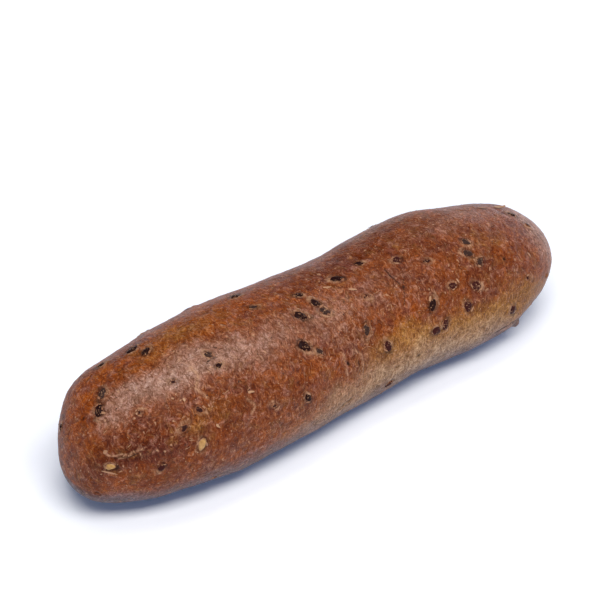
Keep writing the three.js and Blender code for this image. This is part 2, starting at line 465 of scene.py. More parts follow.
def middle_line(along):
    reach = along / (LENGTH / 2)
    bow = BOW * (reach**2 - BOW_LEVEL)
    sway = SWAY * np.sin(math.pi * reach)
    ripple = RIPPLE * np.cos(2 * math.pi * reach)
    return SIDE_SHIFT + bow + sway + ripple


def angle_between(one, other):
    return (one - other + 180) % 360 - 180


def patch(along, around, row):
    """How strong a soft patch of the crust is at a place. It fades out from its middle."""
    at_along, at_around, reach_along, reach_around, strength = row
    along_share = (along - at_along) / reach_along
    around_share = angle_between(around, at_around) / reach_around
    return strength * np.exp(-(along_share**2) - around_share**2)


def broad_relief(along, around):
    height = sum(patch(along, around, swell) for swell in SWELLS)
    angle = np.radians(around)
    for wave_height, length, waves_round, along_phase, round_phase in WAVES:
        along_wave = np.sin(2 * math.pi * along / length + along_phase)
        height = height + wave_height * along_wave * np.cos(waves_round * angle + round_phase)
    return height


def crust_points(along, around):
    """Points of the crust, without its fine surface."""
    along, around = np.broadcast_arrays(np.asarray(along, float), np.asarray(around, float))
    angle = np.radians(around)
    power = np.where(np.cos(angle) < 0, LOWER_POWER, UPPER_POWER)
    across = signed_power(np.sin(angle), 2 / power)
    upward = signed_power(np.cos(angle), 2 / power)
    cap = cap_shrink(along)
    girth = body_girth(along) * cap
    bump = broad_relief(along, around) * np.minimum(RELIEF_FADE * girth, 1)
    rise = np.where(along < 0, LEFT_END.rise, RIGHT_END.rise)
    middle_height = (HEIGHT - BASE_CUT) / 2 * body_girth(along) + rise * (1 - cap)
    y = middle_line(along) - (WIDTH / 2 * girth + bump) * across
    z = middle_height + ((HEIGHT + BASE_CUT) / 2 * girth + bump) * upward
    return np.stack([along, y, np.maximum(z, 0)], axis=-1)


def unit(vectors):
    return vectors / np.maximum(np.linalg.norm(vectors, axis=-1, keepdims=True), 1e-9)


Place = namedtuple("Place", "here long wide outward")


def crust_place(along, around, turn):
    """A place on the crust with its three directions, the first turned by an angle on the crust."""
    along_step = 0.2
    around_step = 0.5
    here = crust_points(along, around)
    forward = unit(crust_points(along + along_step, around) - here)
    sideways = unit(crust_points(along, around + around_step) - here)
    outward = unit(np.cross(sideways, forward))
    across = np.cross(forward, outward)
    angle = np.radians(turn)
    long = forward * np.cos(angle)[..., None] + across * np.sin(angle)[..., None]
    return Place(here, long, np.cross(outward, long), outward)


def placed(rows):
    """Rows with the along, around and turn that they start with made into a place."""
    return [(crust_place(*row[:3]), *row[3:]) for row in rows]


def make_random(seed):
    """Repeatable random numbers from 0 to 1."""
    state = seed

    def draw():
        nonlocal state
        state = (state * RANDOM_FACTOR + RANDOM_STEP) % RANDOM_RANGE
        return state / RANDOM_RANGE

    return draw


def between(limits, share):
    low, high = limits
    return low + (high - low) * share


def back_seeds():
    """The dark and the pale seeds of the back, at the same places as in the solid."""
    draw = make_random(RANDOM_SEED)
    placed = [crust_points(row[0], row[1]) for row in FRONT_SEEDS]
    dark = []
    pale = []
    for count in range(BACK_SEEDS):
        best = None
        for _ in range(BACK_TRIES):
            along = between(BACK_ALONG, draw())
            around = between(BACK_AROUND, draw())
            point = crust_points(along, around)
            room = np.linalg.norm(np.array(placed) - point, axis=1).min()
            if best is None or room > best[0]:
                best = (room, along, around, point)
        _, along, around, point = best
        placed.append(point)
        turn = 180 * draw()
        length = between(BACK_LENGTH, draw())
        if count % PALE_BACK_EVERY == PALE_BACK_EVERY - 1:
            pale.append((along, around, turn, length, GOLDEN))
        else:
            dark.append((along, around, turn, length, BACK_LOOKS[count % len(BACK_LOOKS)]))
    return dark, pale


# ==== Meshes ====


def lumps(points, size):
    """Soft noise from -1 to 1 with lumps of a size, for an array of points."""
    flat = points.reshape(-1, 3) / size
    values = [noise.noise(Vector(point)) for point in flat]
    return np.array(values).reshape(points.shape[:-1])


def even_rings():
    """Places along the loaf at equal steps over the crust, so that the round ends are as fine."""
    fine = -LENGTH / 2 * np.cos(np.linspace(0, math.pi, MEASURING_STEPS))
    radius = WIDTH / 2 * body_girth(fine) * cap_shrink(fine)
    steps = np.hypot(np.diff(fine), np.diff(radius))
    travelled = np.concatenate([[0], np.cumsum(steps)])
    wanted = np.linspace(0, travelled[-1], RINGS + 1)
    return np.interp(wanted, travelled, fine)[1:-1]


def even_sides():
    """Angles round the section from under the loaf, wider apart on the flat base."""
    edge = 180 - BASE_HALF_ANGLE
    upper = np.linspace(-edge, edge, SIDES - BASE_SIDES, endpoint=False)
    base = np.linspace(edge, 360 - edge, BASE_SIDES, endpoint=False)
    half = BASE_SIDES // 2
    return np.concatenate([base[half:] - 360, upper, base[:half]])


def offsets(skin, place):
    """How far the points of the skin are from a place, in each of its three directions."""
    apart = skin - place.here
    return apart @ place.long, apart @ place.wide, apart @ place.outward


def oval_distance(skin, place, length, width, depth=OVAL_DEPTH):
    """Distance from a place in an oval's own radii: 1 on the oval's edge."""
    long, wide, out = offsets(skin, place)
    return np.sqrt((2 * long / length) ** 2 + (2 * wide / width) ** 2 + (out / depth) ** 2)


def line_distance(skin, places):
    """Distance of each point of the skin from a line through a few places on the crust."""
    corners = [crust_points(along, around) for along, around in places]
    nearest = np.full(skin.shape[:-1], np.inf)
    for start, end in zip(corners, corners[1:]):
        step = end - start
        share = np.clip((skin - start) @ step / (step @ step), 0, 1)
        apart = np.linalg.norm(skin - start - share[..., None] * step, axis=-1)
        nearest = np.minimum(nearest, apart)
    return nearest


def bell(distance, reach):
    return np.exp(-((distance / reach) ** 2))


def rim_lumps(skin, edge):
    """Noise near a seed, and nothing elsewhere."""
    near = edge < RIM_LUMPS_WITHIN
    values = np.zeros(edge.shape)
    values[near] = lumps(skin[near], RIM_LUMP)
    return values


def grid_directions(points):
    """The outward and the forward direction at each point of a grid that closes round the section."""
    forward = np.gradient(points, axis=0)
    sideways = np.roll(points, -1, axis=1) - np.roll(points, 1, axis=1)
    return unit(np.cross(sideways, forward)), unit(forward)


class Crust:
    """The grid of the crust: its points, and how high and how marked each one is."""

    def __init__(self, seeds):
        self.along, self.around = np.meshgrid(even_rings(), even_sides(), indexing="ij")
        self.skin = crust_points(self.along, self.around)
        self.outward, _ = grid_directions(self.skin)
        self.on_base = np.clip(1 - self.skin[..., 2] / BASE_FADE, 0, 1)
        self.height = np.zeros_like(self.along)
        self.marks = {}
        self.add_grain()
        self.add_sockets(seeds)
        self.add_pits()
        self.add_lines()
        self.add_crags()
        self.add_patches()

    def add_grain(self):
        for size, height in GRAIN:
            self.height += height * lumps(self.skin, size)

    def add_sockets(self, seeds):
        """A hollow round each seed, with a lip where the crust rose against it."""
        shade = np.zeros_like(self.along)
        lip = np.zeros_like(self.along)
        for count, (place, length, look) in enumerate(placed(seeds)):
            edge = oval_distance(self.skin, place, length, length * SEED_WIDTH_SHARE)
            long, wide, _ = offsets(self.skin, place)
            bearing = np.arctan2(wide / SEED_WIDTH_SHARE, long)
            one_side = 0.5 + 0.5 * np.cos(bearing - count * LIP_TURN)
            hollow = bell(edge, SOCKET_REACH)
            edge = edge + RIM_UNEVEN * rim_lumps(self.skin, edge)
            ring = bell(edge - LIP_AT, LIP_REACH) * (LIP_LEAST + LIP_GAIN * one_side)
            self.height += LIP_HEIGHT * ring - SOCKET_DEPTH * hollow * (1 - look.film)
            self.height += SEED_PROUD * look.film * bell(edge, 1.0)
            # Painted shade round the seed, partly a darker bake, deepest on the side away from the lip
            dark_side = (1 - SHADE_VEIL * look.film) * (SHADE_MOST - SHADE_FALL * one_side)
            shade = np.maximum(shade, bell(edge - SHADE_AT, SHADE_REACH) * dark_side)
            lip = np.maximum(lip, ring * one_side)
        self.marks["socket"] = shade
        self.marks["lip"] = lip

    def add_pits(self):
        pits = np.zeros_like(self.along)
        for place, length, width, depth in placed(PITS):
            edge = oval_distance(self.skin, place, length, width)
            rim = PIT_RIM_HEIGHT * bell(edge - PIT_RIM_AT, PIT_RIM_REACH)
            self.height += rim - depth * bell(edge, PIT_REACH)
            # The deeper a pit, the darker it is painted: painted shade in the hollow
            pits = np.maximum(pits, bell(edge, 1.0) * min(1, depth / DARK_PIT_DEPTH))
        self.marks["pit_shade"] = pits

    def add_lines(self):
        for height, width, places in WRINKLES:
            near = bell(line_distance(self.skin, places), width)
            self.height += height * near
            # Creases are painted darker as painted shade; raised wrinkles get the pale lip colour
            mark, strength = ("lip", 1.0) if height > 0 else ("pit_shade", CREASE_DARKNESS)
            self.marks[mark] = np.maximum(self.marks[mark], strength * near)

    def add_crags(self):
        for place, length, width, proud in placed(CRAGS):
            edge = oval_distance(self.skin, place, length, width, CRAG_DEPTH)
            self.height += proud * np.sqrt(np.clip(1 - edge**2, 0, 1))

    def add_patches(self):
        far, size = WANDER_ALONG
        along = self.along + far * lumps(self.skin, size)
        far, size = WANDER_AROUND
        around = self.around + far * lumps(self.skin + WANDER_SHIFT, size)
        named = {
            "tan": TAN_PATCHES,
            "gold": GOLD_PATCHES,
            "painted_sheen": PAINTED_SHEEN_PATCHES,
            "orange": ORANGE_PATCHES,
            "dark": DARK_BAKE_AND_SHADOW_PATCHES,
            "stretch": STRETCH_PATCHES,
        }
        for name, patches in named.items():
            self.marks[name] = np.clip(sum(patch(along, around, row) for row in patches), 0, 1)
        # Painted reflection of the floor and painted shade on the lower sides
        low = (np.abs(around) - GREY_FROM) / (GREY_TO - GREY_FROM)
        self.marks["low"] = np.clip(low, 0, 1) * (1 - self.on_base)
        self.marks["base"] = self.on_base

    def points(self):
        """The finished points, kept off the surface that the loaf rests on."""
        quiet = 1 - BASE_SMOOTH * self.on_base
        raised = self.skin + self.outward * (self.height * quiet)[..., None]
        raised[..., 2] = np.maximum(raised[..., 2], LEAST_HEIGHT)
        return raised


def new_object(name, data):
    made = bpy.data.objects.new(name, data)
    bpy.context.scene.collection.objects.link(made)
    return made


def new_piece(name, points_mm, faces, material):
    mesh = bpy.data.meshes.new(name)
    mesh.from_pydata((np.asarray(points_mm) * METRES_PER_MM).tolist(), [], faces)
    mesh.polygons.foreach_set("use_smooth", [True] * len(mesh.polygons))
    mesh.materials.append(material)
    mesh.validate()
    mesh.update()
    return new_object(name, mesh)


def add_marks(piece, marks):
    for name, values in marks.items():
        attribute = piece.data.attributes.new(name, "FLOAT", "POINT")
        attribute.data.foreach_set("value", np.asarray(values, float).ravel())


def closed_faces(rings, sides):
    """Faces of a grid that closes round the section, with a tip at each end."""
    first = 1
    last_tip = first + rings * sides
    ring = np.arange(rings - 1)[:, None]
    side = np.arange(sides)[None, :]
    following = (side + 1) % sides
    here = first + ring * sides
    there = here + sides
    quads = np.stack([here + side, here + following, there + following, there + side], axis=-1)
    faces = quads.reshape(-1, 4).tolist()
    tail = first + (rings - 1) * sides
    for index in range(sides):
        after = (index + 1) % sides
        faces.append([0, first + after, first + index])
        faces.append([last_tip, tail + index, tail + after])
    return faces


def add_flat_map(piece, crust):
    """A map of the crust laid out flat, along it and round it."""
    rings, sides = crust.along.shape
    along_share = (np.arange(rings) + 1) / (rings + 1)
    around_share = (crust.around[0] + 180) / 360
    share = np.zeros((rings * sides + 2, 2))
    share[-1, 0] = 1.0
    share[1:-1] = np.stack(np.meshgrid(along_share, around_share, indexing="ij"), axis=-1).reshape(-1, 2)
    corners = np.empty(len(piece.data.loops), int)
    piece.data.loops.foreach_get("vertex_index", corners)
    starts = np.array([polygon.loop_start for polygon in piece.data.polygons])
    sizes = np.array([polygon.loop_total for polygon in piece.data.polygons])
    owner = np.repeat(np.arange(len(starts)), sizes)
    flat = share[corners]
    # A tip lies beside the corner after it, and a face across the seam runs on past the edge
    at_tip = (corners == 0) | (corners == len(share) - 1)
    flat[at_tip, 1] = share[corners[starts[owner[at_tip]] + 1], 1]
    highest = np.maximum.reduceat(flat[:, 1], starts)[owner]
    across_seam = highest - flat[:, 1] > SEAM_JUMP
    flat[across_seam, 1] += 1
    layer = piece.data.uv_layers.new(name="OFBake")
    layer.data.foreach_set("uv", flat.ravel())


def make_crust(crust, material):
    left_tip = crust_points(-LENGTH / 2, 0)
    right_tip = crust_points(LENGTH / 2, 0)
    points = np.concatenate([[left_tip], crust.points().reshape(-1, 3), [right_tip]])
    piece = new_piece("loaf_crust", points, closed_faces(*crust.along.shape), material)
    marks = {}
    for name, values in crust.marks.items():
        first = values[0].mean()
        last = values[-1].mean()
        marks[name] = np.concatenate([[first], values.ravel(), [last]])
    add_marks(piece, marks)
    add_flat_map(piece, crust)
    return piece


def seed_shape():
    """A flax seed of length, width and thickness 2: a flattened drop, lying along X."""
    points = [(-1.0, 0.0, 0.0)]
    for band in range(1, SEED_BANDS):
        angle = math.pi * band / SEED_BANDS
        x = -math.cos(angle)
        for side in range(SEED_SIDES):
            turn = 2 * math.pi * side / SEED_SIDES
            radius = math.sin(angle)
            narrowing = 1 - SEED_TAPER * x
            edge = math.copysign(abs(math.sin(turn)) ** SEED_EDGE_POWER, math.sin(turn))
            points.append((x, radius * narrowing * math.cos(turn), radius * edge))
    points.append((1.0, 0.0, 0.0))
    return np.array(points), closed_faces(SEED_BANDS - 1, SEED_SIDES)


def joined_piece(name, shapes, shape_faces, marks, material):
    """One piece from the points and the marks of several shapes that have the same faces."""
    faces = []
    for count, points in enumerate(shapes):
        start = count * len(points)
        faces.extend([[start + corner for corner in face] for face in shape_faces])
    piece = new_piece(name, np.concatenate(shapes), faces, material)
    add_marks(piece, {mark: np.concatenate(values) for mark, values in marks.items()})
    return piece


def make_seeds(name, seeds, material):
    shape, faces = seed_shape()
    copies = []
    marks = {"film": [], "red": [], "pale": [], "buried": []}
    for place, length, look in placed(seeds):
        width = length * SEED_WIDTH_SHARE * (1 + SWOLLEN_WIDTH * look.red)
        half = np.array([length, width, SEED_THICKNESS]) / 2
        local = shape * half
        uneven = lumps(shape + SEED_SHIFT * len(copies), SEED_LUMP)
        local = local * (1 + SEED_UNEVEN * uneven)[:, None]
        centre = place.here + place.outward * (SEED_PROUD - SEED_THICKNESS / 2)
        axes = np.stack([place.long, place.wide, place.outward])
        copies.append(centre + local @ axes)
        buried = np.clip(1 - (local[:, 2] - half[2] + SEED_PROUD) / SEED_PROUD, 0, 2) / 2
        marks["buried"].append(buried)
        for mark, value in look._asdict().items():
            marks[mark].append(np.full(len(shape), value))
    return joined_piece(name, copies, faces, marks, material)


def shreds(seeds):
    """Flakes of torn crust that lie against the rims of the seeds."""
    draw = make_random(SHRED_SEED)
    rows = []
    for place, length, _ in placed(seeds):
        for _ in range(SHREDS_A_SEED):
            bearing = 2 * math.pi * draw()
            reach = between(SHRED_REACH, draw())
            ahead = length * reach * math.cos(bearing)
            aside = length * SEED_WIDTH_SHARE * reach * math.sin(bearing)
            here = place.here + ahead * place.long + aside * place.wide
            lean = bearing + math.pi / 2 + SHRED_LEAN * (draw() - 0.5)
            long = place.long * math.cos(lean) + place.wide * math.sin(lean)
            sizes = (SHRED_LENGTH, SHRED_WIDTH, SHRED_LIFT, SHRED_TINT)
            rows.append((here, long, place.outward, *[between(limits, draw()) for limits in sizes]))
    return rows


def lifted_flakes():
    return [(place.here, place.long, place.outward, *rest) for place, *rest in placed(FLAKES)]


def make_flakes(name, rows, material):
    """Thin ovals with ragged edges, each with one end that curls up."""
    shape, faces = seed_shape()
    copies = []
    marks = {"tint": []}
    for here, long, outward, length, width, lift, tint in rows:
        ragged = 1 + FLAKE_RAGGED * lumps(shape + FLAKE_SHIFT * len(copies), FLAKE_LUMP)
        local = shape * np.array([length, width, FLAKE_THICKNESS]) / 2
        local[:, :2] *= ragged[:, None]
        curl = (shape[:, 0] + 1) / 2
        local[:, 2] += FLAKE_THICKNESS / 3 + lift * curl**2
        axes = np.stack([long, np.cross(outward, long), outward])
        copies.append(here + local @ axes)
        marks["tint"].append(np.full(len(shape), tint))
    return joined_piece(name, copies, faces, marks, material)


def scatter(rng, crust, count):
    """Random places of the crust above its base, spread evenly: point, outward and forward of each."""
    points = crust.points()
    outward, forward = grid_directions(points)
    section = points[..., 1:]
    chance = np.linalg.norm(section - section.mean(axis=1, keepdims=True), axis=-1)
    chance = chance * (crust.on_base < FLECK_BASE_LIMIT)
    picked = rng.choice(chance.size, count, replace=False, p=chance.ravel() / chance.sum())
    return [values.reshape(-1, 3)[picked] for values in (points, outward, forward)]


def fleck_faces(count):
    """Faces of closed flakes, each with a rim of corners, a top and an underside."""
    rim = np.arange(FLECK_CORNERS)
    after = (rim + 1) % FLECK_CORNERS
    top = np.full(FLECK_CORNERS, FLECK_CORNERS)
    under = top + 1
    one = np.concatenate([np.stack([rim, after, top], axis=1), np.stack([after, rim, under], axis=1)])
    starts = (FLECK_CORNERS + 2) * np.arange(count)
    return (one[None] + starts[:, None, None]).reshape(-1, 3).tolist()


def make_flecks(name, crust, material):
    """Bran that lies on the crust: short flakes, some of them dark, and long fibres."""
    rng = np.random.default_rng(RANDOM_SEED)
    count = FLECKS + FIBRES
    here, outward, forward = scatter(rng, crust, count)
    is_fibre = np.arange(count) >= FLECKS
    length = np.where(is_fibre, rng.uniform(*FIBRE_LENGTH, count), rng.uniform(*FLECK_LENGTH, count))
    width = np.where(is_fibre, FIBRE_WIDTH, length * rng.uniform(*FLECK_WIDTH_SHARE, count))
    turn = rng.uniform(0, 2 * math.pi, count)
    across = np.cross(outward, forward)
    long = forward * np.cos(turn)[:, None] + across * np.sin(turn)[:, None]
    wide = np.cross(outward, long)
    corner = 2 * math.pi * np.arange(FLECK_CORNERS) / FLECK_CORNERS
    radius = rng.uniform(*FLECK_RAGGED, (count, FLECK_CORNERS))
    ahead = np.cos(corner) * radius * (length / 2)[:, None]
    bend = np.where(is_fibre, rng.uniform(*FIBRE_BEND, count), 0.0)
    aside = np.sin(corner) * radius * (width / 2)[:, None] + bend[:, None] * ahead**2
    middle = here + outward * FLECK_PROUD
    rim = middle[:, None] + ahead[..., None] * long[:, None] + aside[..., None] * wide[:, None]
    thickness = np.where(is_fibre, FIBRE_THICKNESS_SHARE, 1.0) * FLECK_THICKNESS
    top = middle + outward * (thickness / 2)[:, None]
    under = middle - outward * thickness[:, None]
    points = np.concatenate([rim, top[:, None], under[:, None]], axis=1)
    piece = new_piece(name, points.reshape(-1, 3), fleck_faces(count), material)
    dark = (rng.random(count) < DARK_FLECK_SHARE) & ~is_fibre
    tint = np.where(dark, 0.0, rng.uniform(*FLECK_TINT, count))
    add_marks(piece, {"tint": np.repeat(tint, FLECK_CORNERS + 2)})
    return piece


# ==== Materials ====

# How much more green and blue change than red does where a crust gets lighter or darker
GREEN_DEPTH = 1.3
BLUE_DEPTH = 1.6


class Nodes:
    """A new material and short ways to add nodes to it."""

    def __init__(self, name):
        self.material = bpy.data.materials.new(name)
        self.material.use_nodes = True
        self.tree = self.material.node_tree
        self.tree.nodes.clear()
        self.surface = self.add("ShaderNodeBsdfPrincipled")
        output = self.add("ShaderNodeOutputMaterial")
        self.fill(output, Surface=self.surface.outputs["BSDF"])
        self.places = self.add("ShaderNodeTexCoord").outputs["Object"]

    def add(self, kind, **settings):
        node = self.tree.nodes.new(kind)
        for name, value in settings.items():
            setattr(node, name, value)
        return node

    def feed(self, socket, value):
        """A number or colour goes on the socket, and another node's output is linked to it."""
        if isinstance(value, bpy.types.NodeSocket):
            self.tree.links.new(value, socket)
        else:
            socket.default_value = value

    def fill(self, node, **values):
        for name, value in values.items():
            self.feed(node.inputs[name.replace("_", " ")], value)

    def set(self, **values):
        self.fill(self.surface, **values)

    def mark(self, name):
        return self.add("ShaderNodeAttribute", attribute_name=name).outputs["Fac"]

    def math(self, operation, first, second=0.0):
        node = self.add("ShaderNodeMath", operation=operation)
        self.feed(node.inputs[0], first)
        self.feed(node.inputs[1], second)
        return node.outputs["Value"]

    def times(self, first, second):
        return self.math("MULTIPLY", first, second)

    def mix(self, share, first, second, blend="MIX"):
        node = self.add("ShaderNodeMix", data_type="RGBA", blend_type=blend)
        self.fill(node, Factor=share, A=first, B=second)
        return node.outputs["Result"]

    def painted(self, colour, layers):
        """A colour with others laid over it one by one, each by its share."""
        for share, layer in layers:
            colour = self.mix(share, colour, layer)
        return colour

    def span(self, value, from_low, from_high, to_low=0.0, to_high=1.0, kind="LINEAR"):
        """A value carried from one range to another, held at the ends."""
        node = self.add("ShaderNodeMapRange", clamp=True, interpolation_type=kind)
        self.fill(node, Value=value, From_Min=from_low, From_Max=from_high, To_Min=to_low, To_Max=to_high)
        return node.outputs["Result"]

    def noise(self, size_mm, detail=2.0, roughness=0.5, places=None):
        """Noise from 0 to 1 with lumps of a size in millimetres."""
        node = self.add("ShaderNodeTexNoise")
        scale = 1 / (size_mm * METRES_PER_MM)
        self.fill(node, Vector=places or self.places, Scale=scale, Detail=detail, Roughness=roughness)
        return node.outputs["Fac"]

    def vector(self, operation, first, second):
        node = self.add("ShaderNodeVectorMath", operation=operation)
        self.feed(node.inputs[0], first)
        self.feed(node.inputs[1], second)
        return node.outputs["Vector"]

    def bent(self, amount_mm, size_mm):
        """The places, pushed about by noise so that what is drawn from them is uneven."""
        node = self.add("ShaderNodeTexNoise")
        self.fill(node, Vector=self.places, Scale=1 / (size_mm * METRES_PER_MM), Detail=1.0)
        push = 2 * amount_mm * METRES_PER_MM
        centred = self.vector("SUBTRACT", node.outputs["Color"], (0.5, 0.5, 0.5))
        return self.vector("ADD", self.places, self.vector("MULTIPLY", centred, (push, push, push)))

    def spots(self, size_mm, radius, soft, share, places):
        """Small round spots, 1 in their middles, in a share of the cells of a size."""
        node = self.add("ShaderNodeTexVoronoi", feature="F1")
        self.fill(node, Vector=places, Scale=1 / (size_mm * METRES_PER_MM))
        channels = self.add("ShaderNodeSeparateColor")
        self.fill(channels, Color=node.outputs["Color"])
        spot = self.span(node.outputs["Distance"], radius - soft, radius + soft, 1.0, 0.0, "SMOOTHSTEP")
        return self.times(spot, self.span(channels.outputs["Red"], share - 0.02, share, 1.0, 0.0))

    def threads(self, size_mm, width, places):
        """Thin winding lines, 1 along their middles, where smooth noise passes its middle value."""
        level = self.noise(size_mm, detail=0.0, places=places)
        away = self.math("ABSOLUTE", self.math("SUBTRACT", level, 0.5))
        return self.span(away, 0.0, width, 1.0, 0.0, "SMOOTHSTEP")

    def shade(self, colour, brightness):
        """A colour made lighter or darker by a factor, deeper where it is darker."""
        factor = self.add("ShaderNodeCombineColor")
        green = self.math("POWER", brightness, GREEN_DEPTH)
        blue = self.math("POWER", brightness, BLUE_DEPTH)
        self.fill(factor, Red=brightness, Green=green, Blue=blue)
        return self.mix(1.0, colour, factor.outputs["Color"], "MULTIPLY")

    def relief(self, layers):
        """The surface's direction under bumps laid one on another: height, depth in mm, strength."""
        normal = None
        for height, depth_mm, strength in layers:
            node = self.add("ShaderNodeBump")
            self.fill(node, Height=height, Distance=depth_mm * METRES_PER_MM, Strength=strength)
            if normal is not None:
                self.fill(node, Normal=normal)
            normal = node.outputs["Normal"]
        return normal


# Colours of the crust, as linear red, green and blue
CRUST = (0.166, 0.038, 0.008, 1)
CRUST_ORANGE = (0.230, 0.046, 0.004, 1)
CRUST_GOLD = (0.274, 0.114, 0.022, 1)
CRUST_OLIVE = (0.168, 0.066, 0.016, 1)
CRUST_PLUM = (0.127, 0.033, 0.021, 1)
CRUST_PINK = (0.243, 0.103, 0.071, 1)
# The colour of the painted sheen
CRUST_PAINTED_SHEEN = (0.310, 0.182, 0.137, 1)
CRUST_DARK = (0.073, 0.012, 0.004, 1)
CRUST_TAN = (0.350, 0.208, 0.113, 1)
# The painted reflection and shade of the lower sides
CRUST_LOW_REFLECTION_AND_SHADE = (0.110, 0.082, 0.092, 1)
CRUST_PALE = (0.468, 0.258, 0.148, 1)
# The painted shade of hollows
CRUST_PIT_SHADE = (0.012, 0.004, 0.002, 1)
BASE_BROWN = (0.190, 0.085, 0.035, 1)
DUST = (0.90, 0.82, 0.92, 1)

# Sizes of the crust's unevenness in millimetres, from the broadest hues to the finest grain
BROAD_SIZE = 13
CLOUD_SIZE = 7.0
WARM_SIZE = 5.5
GREEN_SIZE = 4.0
PINK_SIZE = 2.6
MOTTLE_SIZE = 2.4
WORM_SIZE = 1.3
GRAIN_SIZE = 0.7
FINE_SIZE = 0.4
# All of it is bent by an amount over a size, and the grain is drawn out along the loaf
BEND = (1.6, 3.0)
STREAK = (1.0, 0.45, 0.45)

# How much each kind darkens and lightens the colour
CLOUD_SHADE = (0.83, 1.21)
MOTTLE_SHADE = (0.74, 1.29)
GRAIN_SHADE = (0.55, 1.4)
FINE_SHADE = (0.7, 1.32)
WORM_SHADE = (1.05, 0.8)

# Pale winding fibres: size, width, strength. Dark cracks: size, width
FIBRE_THREADS = [(2.2, 0.02, 0.4), (1.3, 0.03, 0.3)]
CRACK_THREADS = (3.0, 0.015)
WORM_WIDTH = 0.07
# Small pale blisters: size of the cells that they lie in, radius, softness, share of the cells
BLISTERS = (2.4, 0.15, 0.07, 0.4)
BLISTER_STRENGTH = 0.8
STRETCH_PINK = 0.12


def pale_share(nodes, name, unevenness):
    """How much of a pale bake there is: soft and blotchy where it fades out."""
    strength = nodes.mark(name)
    blotchy = nodes.math("ADD", strength, nodes.span(unevenness, 0.3, 0.7, -0.2, 0.2))
    return nodes.times(nodes.span(blotchy, 0.0, 1.0, 0.0, 0.95), nodes.span(strength, 0.0, 0.4))


def crust_hue(nodes, uneven):
    """The bake: brown with orange, olive, plum and pink, darker patches that are partly painted shadow, a
    painted sheen, gold and tan low down, and a painted reflection and shade greying the lower sides.
    """
    broad = nodes.noise(BROAD_SIZE)
    warm = nodes.noise(WARM_SIZE, 3, 0.65, uneven)
    green = nodes.noise(GREEN_SIZE, 3, 0.7, uneven)
    pink = nodes.noise(PINK_SIZE, 3, 0.7, uneven)
    pinker = nodes.math("ADD", pink, nodes.times(nodes.mark("stretch"), STRETCH_PINK))
    layers = [
        (nodes.span(broad, 0.35, 0.65, 0.0, 0.45), CRUST_ORANGE),
        (nodes.mark("orange"), CRUST_ORANGE),
        # Darker bake, mixed with painted shadow
        (nodes.mark("dark"), CRUST_DARK),
        (nodes.span(warm, 0.5, 0.7, 0.0, 0.8), CRUST_PLUM),
        (nodes.span(green, 0.52, 0.7, 0.0, 0.6), CRUST_OLIVE),
        (nodes.span(warm, 0.3, 0.45, 0.4, 0.0), CRUST_ORANGE),
        (nodes.span(pinker, 0.52, 0.72, 0.0, 0.75), CRUST_PINK),
        # Painted sheen and painted reflection
        (pale_share(nodes, "painted_sheen", pink), CRUST_PAINTED_SHEEN),
        (pale_share(nodes, "gold", green), CRUST_GOLD),
        (pale_share(nodes, "tan", warm), CRUST_TAN),
        # Painted floor reflection and shade on the lower sides
        (pale_share(nodes, "low", pink), CRUST_LOW_REFLECTION_AND_SHADE),
        (nodes.mark("base"), BASE_BROWN),
    ]
    return nodes.painted(CRUST, layers)


def crust_material():
    nodes = Nodes("baked_crust")
    uneven = nodes.bent(*BEND)
    streaky = nodes.vector("MULTIPLY", uneven, STREAK)
    cloudy = nodes.noise(CLOUD_SIZE, 2, 0.6, uneven)
    mottle = nodes.noise(MOTTLE_SIZE, 3, 0.65, uneven)
    grain = nodes.noise(GRAIN_SIZE, 2, 0.65, streaky)
    fine = nodes.noise(FINE_SIZE, 1, 0.6)
    worms = nodes.threads(WORM_SIZE, WORM_WIDTH, uneven)
    blisters = nodes.spots(*BLISTERS, uneven)

    colour = crust_hue(nodes, uneven)
    shades = [
        nodes.span(cloudy, 0.3, 0.7, *CLOUD_SHADE),
        nodes.span(mottle, 0.28, 0.72, *MOTTLE_SHADE),
        nodes.span(grain, 0.3, 0.7, *GRAIN_SHADE),
        nodes.span(fine, 0.3, 0.7, *FINE_SHADE),
        nodes.span(worms, 0.0, 1.0, *WORM_SHADE),
    ]
    for brightness in shades:
        colour = nodes.shade(colour, brightness)

    layers = []
    for size, width, strength in FIBRE_THREADS:
        strongest = nodes.span(mottle, 0.47, 0.6, 0.0, strength)
        layers.append((nodes.times(nodes.threads(size, width, streaky), strongest), CRUST_PALE))
    between_ridges = nodes.span(grain, 0.42, 0.55, 0.7, 0.0)
    cracks = nodes.times(nodes.threads(*CRACK_THREADS, streaky), between_ridges)
    layers += [
        (cracks, CRUST_DARK),
        # The ridges of the finest wrinkles catch the light
        (nodes.span(grain, 0.58, 0.74, 0.0, 0.35), CRUST_PALE),
        (nodes.times(blisters, BLISTER_STRENGTH), CRUST_PALE),
        (nodes.times(nodes.mark("stretch"), nodes.span(grain, 0.5, 0.68, 0.0, 0.5)), CRUST_PALE),
        (nodes.times(nodes.mark("lip"), nodes.span(grain, 0.36, 0.58, 0.15, 0.95)), CRUST_PALE),
        # Painted shade round the seeds, partly a darker bake
        (nodes.times(nodes.mark("socket"), nodes.span(fine, 0.3, 0.6, 0.3, 0.95)), CRUST_PIT_SHADE),
        # Painted shade in the pits and the creases
        (nodes.span(nodes.mark("pit_shade"), 0.3, 0.8), CRUST_PIT_SHADE),
    ]
    bumps = [
        (mottle, 0.35, 0.8),
        (grain, 0.22, 0.9),
        (nodes.math("SUBTRACT", 1.0, worms), 0.1, 0.8),
        (blisters, 0.12, 0.8),
        (fine, 0.08, 0.9),
    ]
    nodes.set(Base_Color=nodes.painted(colour, layers), Normal=nodes.relief(bumps))
    nodes.set(Roughness=nodes.span(mottle, 0.3, 0.7, 0.3, 0.46), IOR=1.19)
    nodes.set(Sheen_Weight=0.03, Sheen_Roughness=0.35, Sheen_Tint=DUST)
    return nodes.material


